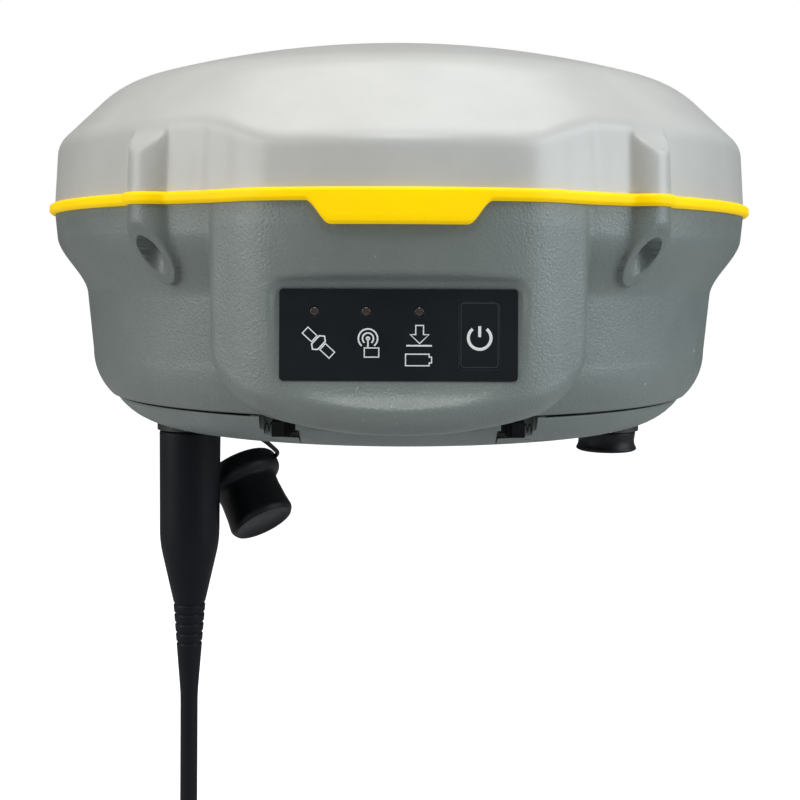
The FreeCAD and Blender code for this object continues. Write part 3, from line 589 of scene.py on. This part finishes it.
def outline_mesh(name, loops, thick, bevel):
    """Mesh of a flat shape with holes, given a thickness and soft edges."""
    curve = bpy.data.curves.new(name, "CURVE")
    curve.dimensions = "2D"
    curve.fill_mode = "BOTH"
    curve.extrude = (thick / 2 - bevel) * MM
    curve.bevel_depth = bevel * MM
    curve.bevel_resolution = 2
    curve.offset = -bevel * MM
    for loop in loops:
        add_spline(curve, [(x, z, 0) for x, z in loop], closed=True)
    return mesh_of(name, curve)


def face_piece(name, mesh, y, mat, body, stands_for=()):
    """Stands a mesh made in X and Y upright at depth y, facing the front."""
    mesh.transform(Matrix.Translation((0, y * MM, 0)) @ Matrix.Rotation(math.radians(90), 4, "X"))
    add_mesh(name, mesh, mat, body, 30, stands_for)


def strokes(name, lines, width, y, mat, body):
    """Printed line work: each line is (points, closed)."""
    curve = round_wire(name, width / 2, 3)
    for points, closed in lines:
        add_spline(curve, [(x, z, 0) for x, z in points], closed=closed)
    mesh = mesh_of(name, curve)
    mesh.transform(Matrix.Diagonal((1, 1, 0.12, 1)))
    face_piece(name, mesh, y, mat, body)


def round_rect(x, z, half_x, half_z, radius, count=8):
    out = []
    for quarter, (sx, sz) in enumerate(((1, 1), (-1, 1), (-1, -1), (1, -1))):
        for i in range(count + 1):
            a = math.radians(90 * quarter + 90 * i / count)
            out.append((x + sx * (half_x - radius) + radius * math.cos(a),
                        z + sz * (half_z - radius) + radius * math.sin(a)))
    return out


def key_outline(larger, radius):
    x, z, half_x, half_z = KEY
    return round_rect(x, z, half_x + larger, half_z + larger, radius)


def disc(x, z, radius, count=24):
    return [(x + radius * math.cos(math.tau * i / count), z + radius * math.sin(math.tau * i / count))
            for i in range(count)]


def arc(x, z, radius, start, stop, count=16):
    angles = [math.radians(start + (stop - start) * i / count) for i in range(count + 1)]
    return [(x + radius * math.cos(a), z + radius * math.sin(a)) for a in angles]


def placed(points, at, degrees=0):
    """The points turned about their own origin and moved to a place."""
    c, s = math.cos(math.radians(degrees)), math.sin(math.radians(degrees))
    return [(at[0] + c * x - s * z, at[1] + s * x + c * z) for x, z in points]


def build_satellite_symbol():
    body = [(-0.85, -1.15), (0.0, -1.85), (0.85, -1.15), (0.85, 1.15), (0.0, 1.85), (-0.85, 1.15)]
    wing = [(-1.3, -0.85), (1.3, -0.85), (1.3, 0.85), (-1.3, 0.85)]
    lines = [(placed(body, SATELLITE_AT, SATELLITE_TILT), True)]
    for side in (-1, 1):
        middle = placed([(side * WING_REACH, 0)], SATELLITE_AT, SATELLITE_TILT)[0]
        lines.append((placed(wing, middle, SATELLITE_TILT), True))
    strokes("symbol_satellite", lines, FINE, INK_Y, INK, "receiver")


def build_radio_symbol():
    x, z = RADIO_AT
    lines = [(arc(x, z, radius, -50, 230), False) for radius in (0.3, 1.15, 2.0)]
    lines.append(([(x, 26.2), (x, 24.4)], False))
    lines.append(([(-7.1, 22.5), (-4.1, 22.5), (-4.1, 24.4), (-7.1, 24.4)], True))
    strokes("symbol_radio", lines, FINE, INK_Y, INK, "receiver")


def build_log_symbol():
    arrow = [(-0.8, 2.0), (0.8, 2.0), (0.8, 0.1), (1.95, 0.1), (0, -1.75), (-1.95, 0.1), (-0.8, 0.1)]
    cell = [(-2.65, -1.2), (2.25, -1.2), (2.25, -0.6), (2.75, -0.6), (2.75, 0.6), (2.25, 0.6), (2.25, 1.2),
            (-2.65, 1.2)]
    lines = [(placed(arrow, ARROW_AT), True), ([(1.6, 24.9), (6.9, 24.9)], False),
             (placed(cell, BATTERY_AT), True)]
    strokes("symbol_log_and_battery", lines, MEDIUM, INK_Y, INK, "receiver")


def build_power_symbol():
    x, z = POWER_AT
    lines = [(arc(x, z, 2.35, 128, 412, 32), False), ([(x, 26.75), (x, 29.0)], False)]
    strokes("symbol_power", lines, BOLD, INK_Y, INK, "power_key")


def build_panel():
    film = MATERIALS["keypad_film"]
    holes = [key_outline(0.07, 0.9)[::-1]] + [disc(x, LAMP_Z, 1.1)[::-1] for x in LAMPS]
    label = outline_mesh("label", [round_rect(*LABEL, 0.9)] + holes, 0.6, 0.12)
    face_piece("label_film", label, PANEL_Y - 0.3, film, "receiver", ["keypad_overlay"])
    key = outline_mesh("key", [key_outline(0, 0.85)], 2.4, 0.14)
    face_piece("power_key_cap", key, LABEL_FACE + 1.2, film, "power_key", ["power_button"])
    strokes("power_key_rim", [(key_outline(-0.35, 0.7), True)], 0.16, LABEL_FACE - 0.005, RIM, "power_key")
    lens = [(0.0, 0.30), (0.5, 0.27), (0.85, 0.18), (1.02, 0.02), (1.08, -0.2), (1.08, -3.5), (0.0, -3.5)]
    for i, x in enumerate(LAMPS):
        verts, faces = lathe(lens, 28, (x, LABEL_FACE + 0.32, LAMP_Z), (0, -1, 0))
        add_piece(f"lamp_{i + 1}", verts, faces, MATERIALS["lamp_lens"], "receiver", 40,
                  ["status_lenses"])
    build_satellite_symbol()
    build_radio_symbol()
    build_log_symbol()
    build_power_symbol()


# ---------------------------------------------------------------- underside pieces
WHIP_AT = (-55.4, -19.0)
WHIP_Z = (0, 29, 31, 33, 35, 47.2, 70, 72, 74, 172)          # depth below the base, and radius there
WHIP_R = (8.05, 7.85, 7.75, 7.5, 7.08, 4.3, 2.45, 2.32, 2.27, 2.2)
GROOVES, GROOVE_TOP, GROOVE_PITCH = 5, 48.0, 2.58
GROOVE_DEEP, GROOVE_HALF = 0.32, 0.6

PORT_AT = (55.4, -19.0)
CAP_MOUTH, CAP_AXIS = (-45.3, 1.0, -14.9), (0.449, -0.431, -0.781)
STRAP = [(-35.0, -0.2, -12.1), (-33.4, -1.6, -10.8), (-34.5, -5.0, -8.9), (-36.1, -8.6, -6.7),
         (-37.8, -11.5, -5.0), (-38.3, -12.2, -3.6)]
STRAP_R = 0.62
STRAP_PIVOT, STRAP_TURN = (-38.3, -12.2, -2.3), (-0.19033, 0.98172, 0)

SPRING_X, SPRING_Y, SPRING_Z = (28.3, 30.5), -70.0, 5.1      # from the catch to its pocket's end
SPRING_R, WIRE_R, SPRING_TURNS, SPRING_GAP = 0.95, 0.13, 2, 0.02
TURN_STEPS = 24


def whip_radius(z):
    """Radius of sleeve, grooved neck and rod at height z."""
    plain = float(np.interp(-z, WHIP_Z, WHIP_R))
    groove = min(abs(-z - GROOVE_TOP - GROOVE_PITCH * i) for i in range(GROOVES))
    return plain - GROOVE_DEEP * (1 - float(ease(groove / GROOVE_HALF)))


def build_whip():
    """Sleeve, neck and rod in one, with closer rings along the neck's grooves."""
    profile = [(0.0, -2.2), (6.7, -2.2), (7.2, -1.9), (7.7, -1.95), (7.95, -2.2), (8.05, -2.6)]
    z = -3.2
    while z > -170.6:
        profile.append((whip_radius(z), z))
        z -= 0.15 if -60 < z < -46.5 else 1.2
    profile += [(2.25, -171.0), (1.9, -171.6), (1.2, -171.95), (0.0, -172.0)]
    verts, faces = lathe(profile, 72, (*WHIP_AT, 0))
    whip = add_piece("whip", verts, faces, MATERIALS["whip_rubber"], None, 40,
                     ["antenna_sleeve", "antenna_neck", "antenna_whip"])
    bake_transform(whip)


def build_hanging_cap(rubber):
    rim = [(6.6, 12.0), (6.6, 0.8), (7.2, 0.0), (9.9, 0.0), (10.9, 1.2), (10.9, 4.4), (10.2, 5.6), (8.7, 6.6),
           (8.5, 9.0), (8.7, 13.5), (9.1, 17.2), (8.2, 18.4)]
    profile = [(0.0, 12.0)] + rounded(rim, 0.8) + [(7.0, 18.4), (6.6, 18.15), (0.0, 18.15)]
    verts, faces = lathe(profile, 64, CAP_MOUTH, CAP_AXIS)
    add_piece("hanging_cap", verts, faces, rubber, "radio_cap", 40, ["radio_cap"])


def build_port_cap(rubber):
    rim = [(6.2, -1.6), (7.7, -1.6), (7.5, -3.0), (7.3, -4.2), (7.5, -5.4), (7.9, -6.0), (7.9, -6.5),
           (7.3, -6.8)]
    profile = [(0.0, -1.6)] + rounded(rim, 0.5) + [(5.6, -6.8), (5.2, -6.65), (0.0, -6.65)]
    verts, faces = lathe(profile, 64, (*PORT_AT, 0))
    add_piece("port_dust_cap", verts, faces, rubber, "port_cap", 40, ["port_cap"])


def build_cap_strap(rubber):
    eye = rounded([(0.98, 0.6), (1.9, 0.6), (1.9, -0.6), (0.98, -0.6)], 0.2)
    verts, faces = lathe(eye + [eye[0]], 32, STRAP_PIVOT, STRAP_TURN)
    add_piece("cap_strap_eye", verts, faces, rubber, "radio_cap", 40, ["cap_strap"])
    curve = round_wire("strap", STRAP_R, 4)
    spline = add_spline(curve, STRAP, "NURBS")
    spline.order_u = 3
    spline.use_endpoint_u = True
    spline.resolution_u = 12
    add_mesh("cap_strap_band", mesh_of("strap", curve), rubber, "radio_cap",
             stands_for=["cap_strap"])


def build_springs():
    """Coil springs behind the catches, built here at one fixed length, though the real ones shorten as the
    catches slide.
    """
    near, far = SPRING_X
    first, last = near + WIRE_R + SPRING_GAP, far - WIRE_R - SPRING_GAP
    count = TURN_STEPS * SPRING_TURNS
    for side, name in ((-1, "left"), (1, "right")):
        coil = []
        for i in range(count + 1):
            turn = math.tau * i / TURN_STEPS
            coil.append((side * (first + (last - first) * i / count),
                         SPRING_Y + SPRING_R * math.cos(turn), SPRING_Z + SPRING_R * math.sin(turn)))
        curve = round_wire("coil_" + name, WIRE_R, 3)
        add_spline(curve, coil)
        piece = add_mesh("latch_coil_" + name, mesh_of("coil_" + name, curve), PAINTED_SHADE_SPRING_WIRE, None,
                         stands_for=["latch_spring_" + name])
        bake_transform(piece)


# ---------------------------------------------------------------- carried-over CAD nodes
def dress_frame():
    for part in frame["record"]["subparts"]:
        for holder in frame["nodes"][part["node"]].material_slots:
            holder.material = MATERIALS[part["material_slot"]]


# ---------------------------------------------------------------- studio, in metres
WORLD_LIGHT = 0.145                               # what lights the receiver; the camera sees plain white
FLOOR_HALF, FLOOR_GAP = 6.0, 0.002
CAMERA_AT, CAMERA_LENS, CAMERA_SHIFT = (0, -0.350, 0.040), 55.9, (0.0014, -0.159)
CAMERA_ROLL = -0.25


def softbox(name, place, aim, width, height, power, colour=(1, 1, 1)):
    light = bpy.data.lights.new(name, "AREA")
    light.shape = "RECTANGLE"
    light.size, light.size_y = width, height
    light.energy = power
    light.color = colour
    box = bpy.data.objects.new(name, light)
    box.location = place
    box.rotation_euler = (Vector(aim) - Vector(place)).to_track_quat("-Z", "Y").to_euler()
    bpy.context.scene.collection.objects.link(box)


def build_lights():
    softbox("top", (0.0, -0.13, 0.95), (0, 0, 0.05), 1.0, 0.9, 7.2)
    softbox("front", (0.0, -0.55, 0.62), (0, 0, 0.05), 0.26, 0.16, 1.1)
    softbox("left", (-0.9, -0.40, 0.30), (0, 0, 0.03), 0.7, 0.8, 4.9)
    softbox("right", (0.9, -0.35, 0.32), (0, 0, 0.03), 0.7, 0.8, 6.6, (0.87, 0.94, 1.0))


def build_world(scene):
    world = bpy.data.worlds.new("studio")
    scene.world = world
    world.use_nodes = True
    nodes, links = world.node_tree.nodes, world.node_tree.links
    back = nodes["Background"]
    back.inputs["Color"].default_value = (1, 1, 1, 1)
    seen = nodes.new("ShaderNodeLightPath")
    level = nodes.new("ShaderNodeMapRange")
    level.inputs["To Min"].default_value = WORLD_LIGHT
    level.inputs["To Max"].default_value = 1.0
    links.new(seen.outputs["Is Camera Ray"], level.inputs["Value"])
    links.new(level.outputs["Result"], back.inputs["Strength"])


def show_through_from_below(mat):
    """Lets a camera under the floor see the underside of the receiver."""
    nodes, links = mat.node_tree.nodes, mat.node_tree.links
    both = nodes.new("ShaderNodeMath")
    both.operation = "MULTIPLY"
    links.new(nodes.new("ShaderNodeLightPath").outputs["Is Camera Ray"], both.inputs[0])
    links.new(nodes.new("ShaderNodeNewGeometry").outputs["Backfacing"], both.inputs[1])
    mix = nodes.new("ShaderNodeMixShader")
    links.new(both.outputs[0], mix.inputs[0])
    links.new(nodes["Principled BSDF"].outputs[0], mix.inputs[1])
    links.new(nodes.new("ShaderNodeBsdfTransparent").outputs[0], mix.inputs[2])
    links.new(mix.outputs[0], nodes["Material Output"].inputs["Surface"])


def build_floor(scene):
    """Floor that the camera sees as white, and that reflects less than white on to the receiver."""
    pale = node_material("pale floor", [0.45, 0.45, 0.45], 0.9)
    add_glow(pale, (1, 1, 1), 1.0)
    shader = pale.node_tree.nodes["Principled BSDF"]
    seen = pale.node_tree.nodes.new("ShaderNodeLightPath")
    pale.node_tree.links.new(seen.outputs["Is Camera Ray"], shader.inputs["Emission Strength"])
    show_through_from_below(pale)
    half, z = FLOOR_HALF, cad_low.z - FLOOR_GAP
    mesh = bpy.data.meshes.new("floor")
    mesh.from_pydata([(-half, -half, z), (half, -half, z), (half, half, z), (-half, half, z)], [],
                     [(0, 1, 2, 3)])
    mesh.materials.append(pale)
    floor = bpy.data.objects.new("floor", mesh)
    scene.collection.objects.link(floor)


def build_camera(scene):
    lens = bpy.data.cameras.new("camera")
    lens.sensor_width = 36
    lens.lens = CAMERA_LENS
    lens.shift_x, lens.shift_y = CAMERA_SHIFT
    lens.clip_start = 0.01
    camera = bpy.data.objects.new("camera", lens)
    camera.location = CAMERA_AT
    camera.rotation_euler = (math.radians(90), math.radians(CAMERA_ROLL), 0)
    scene.collection.objects.link(camera)
    bpy.context.scene.camera = camera


def build_studio():
    scene = bpy.context.scene
    scene.view_settings.view_transform = "Standard"
    build_world(scene)
    build_lights()
    build_floor(scene)
    build_camera(scene)


build_radome(MATERIALS["radome_plastic"])
build_band(MATERIALS["band_yellow"])
build_housing(MATERIALS["housing_plastic"])
build_panel()
build_whip()
build_hanging_cap(MATERIALS["cap_rubber"])
build_port_cap(MATERIALS["cap_rubber"])
build_cap_strap(MATERIALS["cap_rubber"])
build_springs()
dress_frame()
build_studio()
